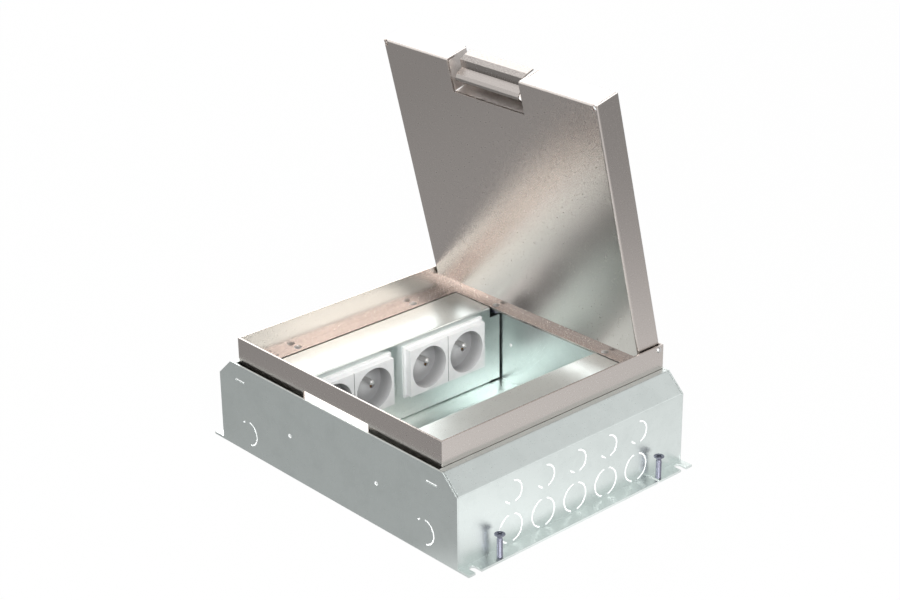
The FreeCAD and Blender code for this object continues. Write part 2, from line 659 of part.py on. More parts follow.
def outlet_guard():
    """Walls round three sides of the cable outlet; the rear one is a curved sheet."""
    top = f"{UNDER} + outlet_wall_height"
    walls = []
    for side in ("left", "right"):
        span = (f"{OUTLET_LEFT} - outlet_wall", OUTLET_LEFT)
        if side == "right":
            span = (OUTLET_RIGHT, f"{OUTLET_RIGHT} + outlet_wall")
        walls.append(block("outlet_wall_" + side, span,
                           (f"-({FREE}) + lid_sheet", f"-({FREE}) + outlet_depth"),
                           (f"{UNDER} + lid_sheet", top)))
        walls.append(block("outlet_edge_" + side, span, (f"-({FREE})", f"-({FREE}) + lid_sheet"),
                           (f"{UNDER} + outlet_slit_start", top)))
    shell = cut("guard_shell", guard_arc("guard_out", "guard_radius + outlet_wall"),
                [guard_arc("guard_in", "guard_radius")])
    slab = block("guard_slab", (OUTLET_LEFT, OUTLET_RIGHT),
                 (f"-({FREE}) + guard_reach + guard_radius / 2",
                  f"-({FREE}) + outlet_depth + 3 * outlet_wall"),
                 (f"{UNDER} + lid_sheet", top))
    walls.append(overlap("guard_rear", [shell, slab]))
    pivot_y = f"-({FREE}) + flap_pivot_inset"
    pivot_z = f"{UNDER} + flap_pivot_height"
    bore = rod("guard_pivot_bore", "x", "flap_pin_radius", "outlet_width + 4 * outlet_wall",
               f"{OUTLET_LEFT} - 2 * outlet_wall", pivot_y, pivot_z)
    node(open_with_lid(cut("guard_cut", join("guard_walls", walls), [bore])), "outlet_guard")
    pins = []
    reach = "outlet_wall + flap_gap + flap_sheet + 1"
    pins.append(rod("flap_pin_left", "x", "flap_pin_radius", reach, f"{OUTLET_LEFT} - outlet_wall",
                    pivot_y, pivot_z))
    pins.append(rod("flap_pin_right", "x", "flap_pin_radius", reach,
                    f"{OUTLET_RIGHT} + outlet_wall - ({reach})", pivot_y, pivot_z))
    node(open_with_lid(group("flap_pin_set", pins)), "flap_pins")


def cable_flap():
    """Flap over the outlet: one sheet bent into a lip, a ledge and a trough, with an ear at each end."""
    left = f"{OUTLET_LEFT} + flap_gap"
    right = f"{OUTLET_RIGHT} - flap_gap"
    bends = [("flap_lip_gap", "outlet_wall_height"), ("flap_lip_gap + 0.35 * flap_lean", "flap_mid_height"),
             ("flap_lip_gap + flap_lean", "flap_ledge_height"),
             ("flap_lip_gap + flap_lean + flap_ledge", "flap_ledge_height"),
             ("flap_trough_place - flap_trough / 2", "flap_trough_height + flap_trough_rise"),
             ("flap_trough_place - flap_trough / 6", "flap_trough_height"),
             ("flap_trough_place + flap_trough / 6", "flap_trough_height"),
             ("flap_trough_place + flap_trough / 2", "flap_trough_height + flap_trough_rise"),
             ("flap_back", "flap_back_height"), ("flap_back", "outlet_wall_height")]
    points = [(f"{across} - ({FREE})", f"{up} + {UNDER}") for across, up in bends]
    parts = [folded("flap_bent", "x", points, "-1 * flap_sheet", left, f"({right}) - ({left})")]
    ear = [("flap_back", "flap_back_height"), ("flap_back", "outlet_wall_height"),
           ("flap_back - flap_ear", "outlet_wall_height"),
           ("flap_back - flap_ear", "flap_pivot_height - 2.5"),
           ("flap_back - 0.4 * flap_ear", "flap_back_height")]
    corners = [(f"{across} - ({FREE})", f"{up} + {UNDER}") for across, up in ear]
    parts.append(profile("flap_ear_left", "YZ_Plane", corners, "flap_sheet", left))
    parts.append(profile("flap_ear_right", "YZ_Plane", corners, "flap_sheet", f"{right} - flap_sheet"))
    bore = rod("flap_bore", "x", "flap_pin_radius + thread_clearance", "outlet_width", OUTLET_LEFT,
               f"-({FREE}) + flap_pivot_inset", f"{UNDER} + flap_pivot_height")
    node(open_with_lid(cut("flap_cut", join("flap_sheet_metal", parts), [bore])), "cable_flap")


def hinge_pins():
    """Riveted pins: a head outside the rim, a shank through the lid's side and a head inside it."""
    pins = []
    y = f"{RIM_BACK} - axis_inset"
    z = "rim_top - axis_drop"
    for side in ("left", "right"):
        inner = "rim_sheet + lid_side_gap + lid_sheet + 0.3"
        if side == "right":
            shank = rod("pin_shank", "x", "pin_radius", inner, f"{RIM_X} - ({inner})", y, z)
            head = taper("pin_head", "x", "pin_head_radius", "pin_radius", "pin_head_height", RIM_X, y, z)
            tail = rod("pin_tail", "x", "pin_head_radius", "pin_head_height",
                       f"{RIM_X} - ({inner}) - pin_head_height", y, z)
        else:
            shank = rod("pin_shank", "x", "pin_radius", inner, f"-({RIM_X})", y, z)
            head = taper("pin_head", "x", "pin_radius", "pin_head_radius", "pin_head_height",
                         f"-({RIM_X}) - pin_head_height", y, z)
            tail = rod("pin_tail", "x", "pin_head_radius", "pin_head_height", f"-({RIM_X}) + ({inner})", y, z)
        pins.append(join("hinge_pin", [shank, head, tail]))
    node(group("hinge_pin_set", pins), "hinge_pins")


def mirrored(span, side):
    """The same span on the other side of the box."""
    return span if side > 0 else (f"-({span[1]})", f"-({span[0]})")


def carrier(label, side, face):
    """Device carrier: one folded sheet with a lip, a top, a face with two windows and a foot."""
    sign = "" if side > 0 else "-"
    edge = f"{RIM_X} - ledge_side - carrier_edge_gap"
    plate_y = (f"{RIM_FRONT} + ledge_end + carrier_front_gap", f"{RIM_BACK} - ledge_end - carrier_front_gap")
    bends = [(f"{sign}({edge} - carrier_sheet)", f"{LEDGE_Z} - carrier_lip"),
             (f"{sign}({edge} - carrier_sheet)", f"{LEDGE_Z} - carrier_sheet"),
             (f"{sign}({face} + carrier_sheet)", f"{LEDGE_Z} - carrier_sheet"),
             (f"{sign}({face} + carrier_sheet)", "base_sheet + carrier_sheet"),
             (f"{sign}({face} + carrier_foot)", "base_sheet + carrier_sheet")]
    if side < 0:
        bends.reverse()
    sheet_metal = folded(label + "_folded", "y", bends, "-1 * carrier_sheet", plate_y[1],
                         f"({plate_y[1]}) - ({plate_y[0]})")
    reach = (f"-({WALL_IN_Y}) + carrier_end_gap", f"{WALL_IN_Y} - carrier_end_gap")
    wings = block(label + "_wings", mirrored((face, f"{face} + carrier_sheet"), side), reach,
                  ("base_sheet + carrier_sheet", "carrier_notch_height"))
    tools = []
    for way in ("-", ""):
        y = f"{way}double_spacing / 2"
        half_wide = "module - window_border"
        half_tall = "module / 2 - window_border"
        tools.append(block(label + "_window", mirrored((f"{face} - 1", f"{face} + 2 * carrier_sheet"), side),
                           (f"{y} - ({half_wide})", f"{y} + ({half_wide})"),
                           (f"double_height - ({half_tall})", f"double_height + ({half_tall})")))
        x = f"{face} + carrier_foot / 2 + carrier_sheet / 2"
        tools.append(rod(label + "_foot_hole", "z", "foot_screw_radius", "3 * carrier_sheet",
                         x if side > 0 else f"-({x})", f"{way}foot_screw_place",
                         "base_sheet - carrier_sheet"))
    node(cut(label + "_cut", join(label + "_sheet", [sheet_metal, wings]), tools), label)


def foot_screws():
    """Screws that hold the carriers down on the floor of the box."""
    screws = []
    for side, face in ((-1, "carrier_left_face"), (1, "carrier_right_face")):
        for way in ("-", ""):
            x = f"{face} + carrier_foot / 2 + carrier_sheet / 2"
            if side < 0:
                x = f"-({x})"
            y = f"{way}foot_screw_place"
            shank = rod("foot_shank", "z", "foot_screw_radius", "carrier_sheet", x, y, "base_sheet")
            head = dome("foot_head", "foot_head_radius", "foot_head_height", x, y,
                        "base_sheet + carrier_sheet")
            screws.append(join("foot_screw", [shank, head]))
    node(group("foot_screw_set", screws), "carrier_screws")


def outward(low, high, face, side):
    """A span measured outwards from the carrier's face, towards the middle of the box."""
    return mirrored((f"{face} - ({high})", f"{face} - ({low})"), side)


def double_socket(label, side, face, way):
    """Two socket modules side by side: holder, insert, earth pins, contacts and rear housing."""
    y = f"{way}double_spacing / 2"
    z = "double_height"
    half_wide = "module"
    half_tall = "module / 2"

    def span(half, centre, border="0"):
        return (f"{centre} - ({half}) - ({border})", f"{centre} + ({half}) + ({border})")

    holder = block(label + "_holder_plate", outward("0", "holder_sheet", face, side),
                   span(half_wide, y, "holder_border"), span(half_tall, z, "holder_border"))
    opening = block(label + "_holder_window", outward("-1", "holder_sheet + 1", face, side),
                    span(half_wide, y, "-window_border"), span(half_tall, z, "-window_border"))
    node(cut(label + "_holder_cut", holder, [opening]), label + "_holder")

    def start(depth):
        """X where a rod along +X begins, for a depth measured outwards from the face."""
        return f"{face} - ({depth})" if side > 0 else f"-({face}) + ({depth})"

    def bar(name, radius, low, high, v, w):
        """A rod between two depths from the carrier's face."""
        first = start(high) if side > 0 else start(low)
        return rod(name, "x", radius, f"({high}) - ({low})", first, v, w)

    back = "socket_front - recess_depth - cup_floor"
    front = block(label + "_front", outward("holder_sheet", "socket_front", face, side), span(half_wide, y),
                  span(half_tall, z))
    solids = [front]
    tools = [block(label + "_groove", outward("socket_front - groove_depth", "socket_front + 1", face, side),
                   span("groove_width / 2", y), span(half_tall, z, "1"))]
    pins = []
    contacts = []
    for step in ("-", "+"):
        v = f"{y} {step} module / 2"
        solids.append(bar(label + "_cup", "cup_radius", back, "holder_sheet + 0.5", v, z))
        tools.append(bar(label + "_recess", "recess_radius", "socket_front - recess_depth",
                         "socket_front + 1", v, z))
        pin_z = f"{z} + earth_pin_rise"
        tools.append(bar(label + "_pin_hole", "earth_pin_radius", f"{back} - 1", "socket_front", v, pin_z))
        tip_start = "socket_front - earth_pin_inset"
        shank = bar(label + "_pin_shank", "earth_pin_radius", back, tip_start, v, pin_z)
        if side > 0:
            tip = taper(label + "_pin_tip", "x", "0.5 * earth_pin_radius", "earth_pin_radius", "1.6",
                        start(tip_start + " + 1.6"), v, pin_z)
        else:
            tip = taper(label + "_pin_tip", "x", "earth_pin_radius", "0.5 * earth_pin_radius", "1.6",
                        start(tip_start), v, pin_z)
        pins.append(join(label + "_pin", [shank, tip]))
        for turn in ("-", "+"):
            hole_y = f"{v} {turn} line_hole_spacing / 2"
            hole_z = f"{z} - line_hole_drop"
            tools.append(bar(label + "_line_hole", "line_hole_radius", f"{back} - 1", "socket_front",
                             hole_y, hole_z))
            tube = bar(label + "_contact_tube", "line_hole_radius + contact_wall",
                       f"{back} - contact_length", back, hole_y, hole_z)
            bore = bar(label + "_contact_bore", "line_hole_radius", f"{back} - contact_length + 2",
                       f"{back} + 1", hole_y, hole_z)
            contacts.append(cut(label + "_contact", tube, [bore]))
    node(cut(label + "_insert_cut", join(label + "_insert_solid", solids), tools), label + "_insert")
    node(group(label + "_pin_set", pins), label + "_earth_pins")
    node(group(label + "_contact_set", contacts), label + "_contacts")

    shell = block(label + "_shell", outward(f"{back} - housing_depth", back, face, side),
                  span(half_wide, y, "-window_border - 0.4"), span(half_tall, z, "-window_border - 0.4"))
    room = block(label + "_room",
                 outward(f"{back} - housing_depth + housing_wall", f"{back} + 1", face, side),
                 span(half_wide, y, "-window_border - 0.4 - housing_wall"),
                 span(half_tall, z, "-window_border - 0.4 - housing_wall"))
    port = block(label + "_port",
                 outward(f"{back} - housing_depth - 1", f"{back} - housing_depth + 2 * housing_wall",
                         face, side),
                 span("wire_port_width / 2", y),
                 (f"{z} - module / 2 + 4", f"{z} - module / 2 + 4 + wire_port_height"))
    node(cut(label + "_housing_cut", shell, [room, port]), label + "_housing")


bottom_plate()
end_wall("front_wall", f"-({BASE_Y})", -1)
end_wall("rear_wall", WALL_IN_Y, 1)
side_wall("left_side_wall", -1)
side_wall("right_side_wall", 1)
rim()
rim_screws()
height_brackets()
levelling_screws()
lid_pan()
outlet_guard()
cable_flap()
hinge_pins()
carrier("left_carrier", -1, "carrier_left_face")
carrier("right_carrier", 1, "carrier_right_face")
foot_screws()
SIDES = (("left", -1, "carrier_left_face"), ("right", 1, "carrier_right_face"))
for side_name, side_sign, side_face in SIDES:
    for end_name, end_sign in (("front", "-"), ("rear", "")):
        double_socket(f"{side_name}_{end_name}_socket", side_sign, side_face, end_sign)
doc.recompute()

faults = [f"{item.Name}: {item.State}" for item in doc.Objects
          if "Invalid" in item.State or "Error" in item.State]
for item in NODES:
    if item.Shape.isNull() or not item.Shape.isValid() or not item.Shape.Solids:
        faults.append(f"{item.Label}: no valid solid")
if faults:
    sys.exit("\n".join(faults))

os.makedirs("parts", exist_ok=True)
for item in NODES:
    item.Shape.exportStep(f"parts/{item.Label}.step")
    box = item.Shape.BoundBox
    print(f"{item.Label:32s} solids {len(item.Shape.Solids)}  x {box.XMin:8.2f} {box.XMax:8.2f}"
          f"  y {box.YMin:8.2f} {box.YMax:8.2f}  z {box.ZMin:8.2f} {box.ZMax:8.2f}")
print(len(NODES), "nodes")
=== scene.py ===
import bpy
import json
import math
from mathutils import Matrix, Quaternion, Vector


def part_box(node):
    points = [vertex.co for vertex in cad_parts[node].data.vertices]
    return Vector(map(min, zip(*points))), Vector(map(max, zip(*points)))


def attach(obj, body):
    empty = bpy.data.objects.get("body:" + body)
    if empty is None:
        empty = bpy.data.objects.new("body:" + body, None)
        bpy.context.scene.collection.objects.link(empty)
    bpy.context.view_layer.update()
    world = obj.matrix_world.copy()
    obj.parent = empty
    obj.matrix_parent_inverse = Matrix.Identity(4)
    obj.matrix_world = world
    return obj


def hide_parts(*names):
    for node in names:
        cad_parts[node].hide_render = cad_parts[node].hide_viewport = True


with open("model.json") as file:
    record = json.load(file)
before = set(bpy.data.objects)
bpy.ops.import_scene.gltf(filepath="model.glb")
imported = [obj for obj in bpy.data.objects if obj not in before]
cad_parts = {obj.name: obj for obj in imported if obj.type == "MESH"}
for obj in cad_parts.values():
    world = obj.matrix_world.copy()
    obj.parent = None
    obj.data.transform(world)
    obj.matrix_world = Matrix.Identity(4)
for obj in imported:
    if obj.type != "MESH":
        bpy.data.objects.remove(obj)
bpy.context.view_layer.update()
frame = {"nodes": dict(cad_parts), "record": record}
nodes = frame["nodes"]
print("box loaded, pieces:", len(nodes))


# Finishes

noiseMiddle = {"From Min": 0.3, "From Max": 0.7}
edgeSamples = 6


def newFinish(name):
    finish = bpy.data.materials.new(name)
    finish.use_nodes = True
    return finish, finish.node_tree.nodes["Principled BSDF"]


def addNode(finish, kind, values=None):
    node = finish.node_tree.nodes.new(kind)
    for key, value in (values or {}).items():
        node.inputs[key].default_value = value
    return node


def wire(finish, start, output, end, entry):
    finish.node_tree.links.new(start.outputs[output], end.inputs[entry])


def objectSpace(finish, stretch=(1, 1, 1)):
    place = addNode(finish, "ShaderNodeTexCoord")
    turn = addNode(finish, "ShaderNodeMapping", {"Scale": stretch})
    wire(finish, place, "Object", turn, "Vector")
    return turn


def noiseAt(finish, space, size, detail=3.0):
    noise = addNode(finish, "ShaderNodeTexNoise", {"Scale": 1 / size, "Detail": detail})
    wire(finish, space, "Vector", noise, "Vector")
    return noise


def spread(finish, source, low, high, output="Fac"):
    # stretches the middle range of a noise to a pair of values
    span = addNode(finish, "ShaderNodeMapRange", {**noiseMiddle, "To Min": low, "To Max": high})
    wire(finish, source, output, span, "Value")
    return span


def tint(finish, factor, dark, light):
    mix = addNode(finish, "ShaderNodeMix")
    mix.data_type = "RGBA"
    mix.inputs["A"].default_value = (*dark, 1)
    mix.inputs["B"].default_value = (*light, 1)
    wire(finish, factor, "Result", mix, "Factor")
    return mix


def addRelief(finish, shader, source, look):
    # fine relief, and where the look has an edge, corners that catch the light as if they were rounded
    bump = addNode(finish, "ShaderNodeBump", {"Strength": look["relief"], "Distance": look["reliefDepth"]})
    wire(finish, source, "Fac", bump, "Height")
    if "edge" in look:
        rounded = addNode(finish, "ShaderNodeBevel", {"Radius": look["edge"]})
        rounded.samples = edgeSamples
        wire(finish, rounded, "Normal", bump, "Normal")
    wire(finish, bump, "Normal", shader, "Normal")


galvanisedLook = {
    "dark": (0.688, 0.742, 0.726),
    "light": (0.735, 0.79, 0.774),
    "roughLow": 0.27,
    "roughHigh": 0.37,
    "spangle": 0.004,
    "spangleShare": 0.22,
    "cloud": 0.02,
    "grain": 0.0011,
    "relief": 0.2,
    "reliefDepth": 0.0004,
    "edge": 0.0004,
}


def galvanisedSheet():
    # zinc-coated steel with a faint spangle
    look = galvanisedLook
    finish, shader = newFinish("galvanisedSheet")
    shader.inputs["Metallic"].default_value = 1
    space = objectSpace(finish)
    flake = addNode(finish, "ShaderNodeTexVoronoi", {"Scale": 1 / look["spangle"], "Randomness": 1})
    wire(finish, space, "Vector", flake, "Vector")
    fine = noiseAt(finish, space, look["grain"])
    cloud = noiseAt(finish, space, look["cloud"])
    mixed = addNode(finish, "ShaderNodeMath")
    mixed.operation = "MULTIPLY_ADD"
    mixed.inputs[1].default_value = look["spangleShare"]
    wire(finish, flake, "Color", mixed, 0)
    wire(finish, cloud, "Fac", mixed, 2)
    shade = spread(finish, mixed, 0, 1, "Value")
    colour = tint(finish, shade, look["dark"], look["light"])
    wire(finish, colour, "Result", shader, "Base Color")
    rough = spread(finish, fine, look["roughLow"], look["roughHigh"])
    wire(finish, rough, "Result", shader, "Roughness")
    addRelief(finish, shader, fine, look)
    return finish


stainlessLook = {
    "dark": (0.545, 0.502, 0.475),
    "light": (0.585, 0.54, 0.512),
    "roughLow": 0.20,
    "roughHigh": 0.28,
    "roughCloud": 0.002,
    "stretch": (1, 2.2, 1),
    "grain": 0.0007,
    "grainDetail": 4,
    "relief": 0.13,
    "reliefDepth": 0.0004,
    "edge": 0.0004,
}
# painted shade: the same stainless sheet with its colour darkened, standing in for the shade on the cable
# flap
paintedShadeFlapLook = {
    **stainlessLook,
    "dark": (0.37, 0.342, 0.323),
    "light": (0.40, 0.37, 0.35),
}
# painted light: the same stainless sheet with its colour lightened, standing in for the light in the outlet
# guard's trough; its higher roughness and deeper relief are real
paintedLightGuardLook = {
    **stainlessLook,
    "dark": (0.72, 0.67, 0.64),
    "light": (0.84, 0.79, 0.76),
    "roughLow": 0.32,
    "roughHigh": 0.44,
    "grain": 0.002,
    "relief": 0.5,
}


def stainlessSheet(name, look):
    # rolled stainless steel, its grain stretched across the sheet
    finish, shader = newFinish(name)
    shader.inputs["Metallic"].default_value = 1
    space = objectSpace(finish, look["stretch"])
    fine = noiseAt(finish, space, look["grain"], look["grainDetail"])
    shade = spread(finish, fine, 0, 1)
    colour = tint(finish, shade, look["dark"], look["light"])
    wire(finish, colour, "Result", shader, "Base Color")
    rough = spread(finish, noiseAt(finish, space, look["roughCloud"]), look["roughLow"], look["roughHigh"])
    wire(finish, rough, "Result", shader, "Roughness")
    addRelief(finish, shader, fine, look)
    return finish


turnedLook = {
    "stretch": (1, 1, 4),
    "marks": 0.0012,
    "relief": 0.12,
    "reliefDepth": 0.0002,
}


def turnedMetal(name, dark, light, rough, metallic=1):
    # machined or plated small parts with fine turning marks
    look = turnedLook
    finish, shader = newFinish(name)
    shader.inputs["Metallic"].default_value = metallic
    shader.inputs["Roughness"].default_value = rough
    marks = noiseAt(finish, objectSpace(finish, look["stretch"]), look["marks"])
    shade = spread(finish, marks, 0, 1)
    colour = tint(finish, shade, dark, light)
    wire(finish, colour, "Result", shader, "Base Color")
    addRelief(finish, shader, marks, look)
    return finish


plasticLook = {
    "dark": (0.80, 0.81, 0.81),
    "light": (0.88, 0.885, 0.885),
    "cloud": 0.012,
    # painted shade: the grey laid into the cups and hollows by ambient occlusion
    "paintedHollowShade": (0.34, 0.34, 0.345),
    "paintedShadeReach": 0.022,
    "paintedShadeSamples": 16,
    "closed": 0.6,
    "open": 0.92,
    "rough": 0.32,
    "bending": 1.5,
    "grain": 0.0009,
    "relief": 0.08,
    "reliefDepth": 0.0003,
}


def mouldedPlastic():
    # white plastic with painted shade: ambient occlusion greys it in its own hollows
    look = plasticLook
    finish, shader = newFinish("mouldedPlastic")
    shader.inputs["Roughness"].default_value = look["rough"]
    shader.inputs["IOR"].default_value = look["bending"]
    space = objectSpace(finish)
    shade = spread(finish, noiseAt(finish, space, look["cloud"]), 0, 1)
    colour = tint(finish, shade, look["dark"], look["light"])
    # painted shade: occlusion by the insert's own shape darkens the colour towards the grey in its cups and
    # hollows
    nearby = addNode(finish, "ShaderNodeAmbientOcclusion", {"Distance": look["paintedShadeReach"]})
    nearby.samples = look["paintedShadeSamples"]
    nearby.only_local = True
    limits = {"From Min": look["closed"], "From Max": look["open"]}
    openness = addNode(finish, "ShaderNodeMapRange", limits)
    wire(finish, nearby, "AO", openness, "Value")
    shaded = tint(finish, openness, look["paintedHollowShade"], look["light"])
    wire(finish, colour, "Result", shaded, "B")
    wire(finish, shaded, "Result", shader, "Base Color")
    addRelief(finish, shader, noiseAt(finish, space, look["grain"]), look)
    return finish


paintedGlintLook = {
    "dark": (0.86, 0.88, 0.875),
    "light": (0.95, 0.96, 0.955),
    "rough": 0.4,
    "grain": 0.0015,
    "relief": 0.1,
    "reliefDepth": 0.0002,
}


def paintedGlintStrips():
    # painted highlight: bright matt white, not metal, standing in for the glint of the metal freshly cut by
    # the punch
    look = paintedGlintLook
    finish, shader = newFinish("paintedGlintStrips")
    shader.inputs["Roughness"].default_value = look["rough"]
    cloud = noiseAt(finish, objectSpace(finish), look["grain"])
    shade = spread(finish, cloud, 0, 1)
    colour = tint(finish, shade, look["dark"], look["light"])
    wire(finish, colour, "Result", shader, "Base Color")
    addRelief(finish, shader, cloud, look)
    return finish


finishes = {
    "galvanised": galvanisedSheet(),
    "stainless": stainlessSheet("stainlessSheet", stainlessLook),
    "stainless_pin": turnedMetal("turnedStainless", (0.50, 0.49, 0.48), (0.66, 0.65, 0.64), 0.24),
    "domed": turnedMetal("polishedZinc", (0.58, 0.57, 0.56), (0.78, 0.77, 0.76), 0.3),
    "zinc_screw": turnedMetal("bluishZinc", (0.195, 0.2, 0.25), (0.295, 0.30, 0.365), 0.45),
    "white_plastic": mouldedPlastic(),
    "nickel_pin": turnedMetal("nickelPin", (0.60, 0.60, 0.59), (0.72, 0.72, 0.71), 0.42, 0.45),
    "brass": turnedMetal("springBrass", (0.62, 0.46, 0.22), (0.80, 0.64, 0.34), 0.3),
}
# lit and shaded copies of the stainless finish: painted shade on the cable flap, painted light on the
# outlet guard
paintedLightAndShadeCopies = {
    "cable_flap": stainlessSheet("flapSheetPaintedShade", paintedShadeFlapLook),
    "outlet_guard": stainlessSheet("guardSheetPaintedLight", paintedLightGuardLook),
}
for subpart in frame["record"]["subparts"]:
    node = subpart["node"]
    for materialSlot in nodes[node].material_slots:
        materialSlot.material = paintedLightAndShadeCopies.get(node, finishes[subpart["material_slot"]])
print("finishes put on all pieces")


# Screws

smoothAngle = math.radians(32)
barShare = 0.26


def deselectAll():
    bpy.ops.object.select_all(action="DESELECT")


def makeOnly(piece):
    deselectAll()
    piece.select_set(True)
    bpy.context.view_layer.objects.active = piece


def applyModifiers(piece):
    makeOnly(piece)
    for modifier in list(piece.modifiers):
        bpy.ops.object.modifier_apply(modifier=modifier.name)


def joinAll(pieces):
    makeOnly(pieces[0])
    for piece in pieces:
        piece.select_set(True)
    bpy.ops.object.join()
    return pieces[0]


def placed(pattern, spot, turn):
    # a copy of a pattern, turned and set down at a spot
    piece = pattern.copy()
    piece.data = pattern.data.copy()
    bpy.context.scene.collection.objects.link(piece)
    piece.rotation_mode = "QUATERNION"
    piece.rotation_quaternion = turn
    piece.location = spot
    makeOnly(piece)
    bpy.ops.object.transform_apply(location=True, rotation=True, scale=True)
    return piece


def settle(piece, finish, body):
    # bakes the place into the mesh, then gives the piece its finish and its body
    makeOnly(piece)
    bpy.ops.object.transform_apply(location=True, rotation=True, scale=True)
    piece.data.materials.clear()
    piece.data.materials.append(finish)
    bpy.ops.object.shade_smooth_by_angle(angle=smoothAngle)
    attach(piece, body)


def crossCutter(size, depth, top):
    # a cross of two bars, for the drive in a screw's head
    deselectAll()
    bpy.ops.mesh.primitive_cube_add(size=1, location=(0, 0, top))
    cutter = bpy.context.object
    cutter.scale = (size, size * barShare, depth * 2)
    bpy.ops.object.transform_apply(location=False, rotation=False, scale=True)
    bpy.ops.object.mode_set(mode="EDIT")
    bpy.ops.mesh.select_all(action="SELECT")
    bpy.ops.mesh.duplicate()
    bpy.ops.transform.rotate(value=math.radians(90), orient_axis="Z", center_override=(0, 0, top))
    bpy.ops.object.mode_set(mode="OBJECT")
    return cutter


def cutWith(piece, cutter):
    difference = piece.modifiers.new("drive", "BOOLEAN")
    difference.object = cutter
    difference.solver = "EXACT"
    difference.use_self = True
    applyModifiers(piece)
    bpy.data.objects.remove(cutter)


levelScrew = {
    "headWidth": 0.009,
    "headHeight": 0.0026,
    "rimHeight": 0.0004,
    "rimRound": 0.0002,
    "rimShare": 0.94,
    "core": 0.0021,
    "thread": 0.00245,
    "threadShare": 0.68,
    "threadStart": 0.0009,
    "threadStop": 0.002,
    "threadSteps": 24,
    "pitch": 0.0008,
    "drive": 0.0056,
    "driveDepth": 0.0012,
    "sides": 40,
}


def raiseFace(height):
    bpy.ops.mesh.extrude_region_move(TRANSFORM_OT_translate={"value": (0, 0, height)})


def levelShank(neck, top):
    # a countersunk head on a plain core, with its foot at the origin
    size = levelScrew
    deselectAll()
    bpy.ops.mesh.primitive_cylinder_add(vertices=size["sides"], radius=size["core"], depth=neck,
                                        location=(0, 0, neck / 2))
    screw = bpy.context.object
    bpy.ops.object.transform_apply(location=True)
    bpy.ops.object.mode_set(mode="EDIT")
    bpy.ops.mesh.select_mode(type="FACE")
    bpy.ops.mesh.select_all(action="DESELECT")
    bpy.ops.object.mode_set(mode="OBJECT")
    for face in screw.data.polygons:
        face.select = face.normal.z > 0.9
    bpy.ops.object.mode_set(mode="EDIT")
    grow = size["headWidth"] / 2 / size["core"]
    raiseFace(size["headHeight"] - size["rimHeight"] - size["rimRound"])
    bpy.ops.transform.resize(value=(grow, grow, 1), center_override=(0, 0, neck))
    raiseFace(size["rimHeight"])
    raiseFace(size["rimRound"])
    bpy.ops.transform.resize(value=(size["rimShare"], size["rimShare"], 1), center_override=(0, 0, top))
    bpy.ops.object.mode_set(mode="OBJECT")
    cutWith(screw, crossCutter(size["drive"], size["driveDepth"], top))
    return screw


def levelThread(neck):
    # a ridge wound round the core
    size = levelScrew
    deselectAll()
    middle = (size["core"] + size["thread"]) / 2
    radius = (size["thread"] - size["core"]) * size["threadShare"]
    bpy.ops.mesh.primitive_circle_add(vertices=3, radius=radius, fill_type="NGON",
                                      location=(middle, 0, size["threadStart"]),
                                      rotation=(math.radians(90), 0, 0))
    ridge = bpy.context.object
    makeOnly(ridge)
    bpy.ops.object.transform_apply(location=True, rotation=True)
    winding = ridge.modifiers.new("winding", "SCREW")
    winding.axis = "Z"
    winding.steps = size["threadSteps"]
    winding.render_steps = size["threadSteps"]
    winding.screw_offset = size["pitch"]
    winding.iterations = int((neck - size["threadStop"]) / size["pitch"])
    winding.use_normal_calculate = True
    applyModifiers(ridge)
    return ridge


def levelScrews():
    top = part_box("levelling_screw_front_right")[1].z
    neck = top - levelScrew["headHeight"]
    pattern = joinAll([levelShank(neck, top), levelThread(neck)])
    for end in ("front", "rear"):
        for side in ("left", "right"):
            name = f"levelling_screw_{end}_{side}"
            low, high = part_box(name)
            screw = pattern.copy()
            screw.data = pattern.data.copy()
            screw.name = f"threaded_level_screw_{end}_{side}"
            bpy.context.scene.collection.objects.link(screw)
            screw.location = ((low.x + high.x) / 2, (low.y + high.y) / 2, low.z)
            settle(screw, finishes["zinc_screw"], name)
            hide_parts(name)
    bpy.data.objects.remove(pattern)
    print("levelling screws threaded")


levelScrews()


domedScrew = {
    "headWidth": 0.0072,
    "headHeight": 0.0013,
    "shank": 0.00245,
    "drive": 0.0036,
    "driveDepth": 0.0007,
    "sides": 40,
    "rings": 48,
    "turnAlongX": 35,
    "turnAlongY": 80,
}
heightScrews = {"xs": (-0.1236, 0.1236), "ys": (-0.0658, 0.0692), "length": 0.034}
ledgeScrews = {"xs": (-0.0686, 0.0686), "ys": (0.122,), "length": 0.007}


def oneDome(length):
    # domed head on the plane at zero, with a cross drive, and its shank below
    size = domedScrew
    half = size["headWidth"] / 2
    ball = (half ** 2 + size["headHeight"] ** 2) / (2 * size["headHeight"])
    deselectAll()
    bpy.ops.mesh.primitive_uv_sphere_add(segments=size["sides"], ring_count=size["rings"], radius=ball,
                                         location=(0, 0, size["headHeight"] - ball))
    head = bpy.context.object
    bpy.ops.object.transform_apply(location=True)
    bpy.ops.object.mode_set(mode="EDIT")
    bpy.ops.mesh.select_all(action="SELECT")
    bpy.ops.mesh.bisect(plane_co=(0, 0, 0), plane_no=(0, 0, 1), use_fill=True, clear_inner=True)
    bpy.ops.object.mode_set(mode="OBJECT")
    cutWith(head, crossCutter(size["drive"], size["driveDepth"], size["headHeight"]))
    deselectAll()
    bpy.ops.mesh.primitive_cylinder_add(vertices=size["sides"], radius=size["shank"], depth=length,
                                        location=(0, 0, -length / 2))
    shank = bpy.context.object
    bpy.ops.object.transform_apply(location=True)
    return joinAll([head, shank])


